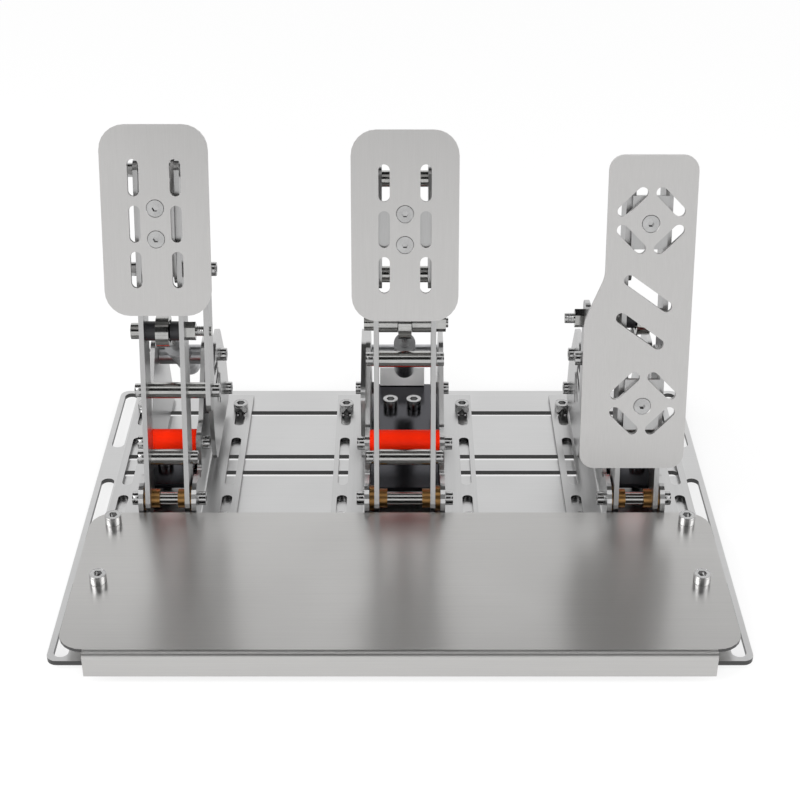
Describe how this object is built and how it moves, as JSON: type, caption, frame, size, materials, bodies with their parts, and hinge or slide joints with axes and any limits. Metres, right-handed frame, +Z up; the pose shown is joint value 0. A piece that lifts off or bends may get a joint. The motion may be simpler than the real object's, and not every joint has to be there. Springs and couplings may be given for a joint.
{
  "type": "sim racing pedal set",
  "caption": "Floor pedal set for a driving simulator: clutch, brake and throttle arms on slotted brackets, with spring and load cell struts, a heel plate and a slotted base plate.",
  "frame": {"origin": "middle of the outline on the floor, at the underside of the nuts below the base plate", "axes": "+X to the driver's right, +Y forwards away from the driver, +Z up"},
  "size_m": [0.4, 0.312, 0.2532],
  "materials": {
    "steel_sheet": "brushed",
    "plate_steel": "brushed",
    "heel_steel": "satin",
    "bright_steel": "polished",
    "spring_steel": "drawn wire",
    "dark_steel": "gloss",
    "clear_aluminium": "satin anodised",
    "bronze": "machined",
    "orange_sleeve": "satin",
    "elastomer": "matte",
    "black_plastic": "matte"
  },
  "bodies": {
    "frame": {"base_plate": "steel_sheet", "heel_plate": "heel_steel", "heel_standoffs": "bright_steel", "heel_screws": "bright_steel", "flange_screws": "bright_steel", "flange_nuts": "bright_steel", "clutch_left_bracket": "steel_sheet", "clutch_right_bracket": "steel_sheet", "brake_left_bracket": "steel_sheet", "brake_right_bracket": "steel_sheet", "throttle_left_bracket": "steel_sheet", "throttle_right_bracket": "steel_sheet", "axles": "bright_steel", "stop_rods": "bright_steel", "stop_sleeves": "orange_sleeve", "rear_pins": "bright_steel", "frame_screws": "bright_steel", "sector_plates": "steel_sheet", "tie_plates": "dark_steel", "clutch_hall_sensor": "black_plastic", "throttle_hall_sensor": "black_plastic"},
    "clutch_pedal": {"clutch_left_arm": "steel_sheet", "clutch_right_arm": "steel_sheet", "clutch_bushes": "bronze", "clutch_cross_rods": "bright_steel", "clutch_arm_screws": "bright_steel", "clutch_pedal_plate": "plate_steel", "clutch_plate_mount": "steel_sheet", "clutch_upper_pin": "bright_steel", "clutch_pin_spacers": "black_plastic", "clutch_outrigger": "steel_sheet"},
    "clutch_strut": {"clutch_cartridge": "clear_aluminium", "clutch_spring": "spring_steel"},
    "clutch_plunger": {"clutch_push_rod": "bright_steel"},
    "brake_pedal": {"brake_left_arm": "steel_sheet", "brake_right_arm": "steel_sheet", "brake_bushes": "bronze", "brake_cross_rods": "bright_steel", "brake_arm_screws": "bright_steel", "brake_pedal_plate": "plate_steel", "brake_plate_mount": "steel_sheet", "brake_upper_pin": "bright_steel", "brake_pin_spacers": "bright_steel"},
    "brake_strut": {"brake_cartridge": "clear_aluminium", "brake_elastomers": "elastomer", "brake_load_cell": "bright_steel"},
    "brake_plunger": {"brake_push_rod": "bright_steel"},
    "throttle_pedal": {"throttle_left_arm": "steel_sheet", "throttle_right_arm": "steel_sheet", "throttle_bushes": "bronze", "throttle_cross_rods": "bright_steel", "throttle_arm_screws": "bright_steel", "throttle_pedal_plate": "plate_steel", "throttle_plate_mount": "steel_sheet", "throttle_upper_pin": "bright_steel", "throttle_pin_spacers": "black_plastic", "throttle_outrigger": "steel_sheet"},
    "throttle_strut": {"throttle_cartridge": "clear_aluminium", "throttle_spring": "spring_steel"},
    "throttle_plunger": {"throttle_push_rod": "bright_steel"}
  },
  "joints": [
    {"name": "clutch_press", "type": "hinge", "parent": "frame", "child": "clutch_pedal", "pos_m": [-0.145, -0.006, 0.0232], "axis": [-1, 0, 0], "range_deg": [0, 17], "stiffness_Nm_per_rad": 40, "springref_deg": -7.16},
    {"name": "clutch_strut_swing", "type": "hinge", "parent": "frame", "child": "clutch_strut", "pos_m": [-0.145, 0.092, 0.0722], "axis": [-1, 0, 0], "range_deg": [0, 8]},
    {"name": "clutch_rod_slide", "type": "slide", "parent": "clutch_strut", "child": "clutch_plunger", "axis": [0, 0.7803, -0.6254], "range_m": [0, 0.0304], "deforming": ["clutch_spring"]},
    {"name": "brake_press", "type": "hinge", "parent": "frame", "child": "brake_pedal", "pos_m": [0.003, -0.006, 0.0232], "axis": [-1, 0, 0], "range_deg": [0, 7], "stiffness_Nm_per_rad": 350, "springref_deg": -0.69},
    {"name": "brake_strut_swing", "type": "hinge", "parent": "frame", "child": "brake_strut", "pos_m": [0.003, 0.092, 0.0722], "axis": [-1, 0, 0], "range_deg": [0, 4]},
    {"name": "brake_rod_slide", "type": "slide", "parent": "brake_strut", "child": "brake_plunger", "axis": [0, 0.7463, -0.6656], "range_m": [0, 0.0128], "deforming": ["brake_elastomers"]},
    {"name": "throttle_press", "type": "hinge", "parent": "frame", "child": "throttle_pedal", "pos_m": [0.147, -0.006, 0.0232], "axis": [-1, 0, 0], "range_deg": [0, 17], "stiffness_Nm_per_rad": 25, "springref_deg": -9.17},
    {"name": "throttle_strut_swing", "type": "hinge", "parent": "frame", "child": "throttle_strut", "pos_m": [0.147, 0.092, 0.0722], "axis": [-1, 0, 0], "range_deg": [0, 11]},
    {"name": "throttle_rod_slide", "type": "slide", "parent": "throttle_strut", "child": "throttle_plunger", "axis": [0, 0.7412, -0.6712], "range_m": [0, 0.0313], "deforming": ["throttle_spring"]}
  ],
  "couplings": [
    {"joint": "clutch_strut_swing", "follows": "clutch_press", "ratio": 0.4575},
    {"joint": "clutch_rod_slide", "follows": "clutch_press", "m_per_rad": 0.1019},
    {"joint": "brake_strut_swing", "follows": "brake_press", "ratio": 0.5525},
    {"joint": "brake_rod_slide", "follows": "brake_press", "m_per_rad": 0.10295},
    {"joint": "throttle_strut_swing", "follows": "throttle_press", "ratio": 0.6275},
    {"joint": "throttle_rod_slide", "follows": "throttle_press", "m_per_rad": 0.10465}
  ]
}
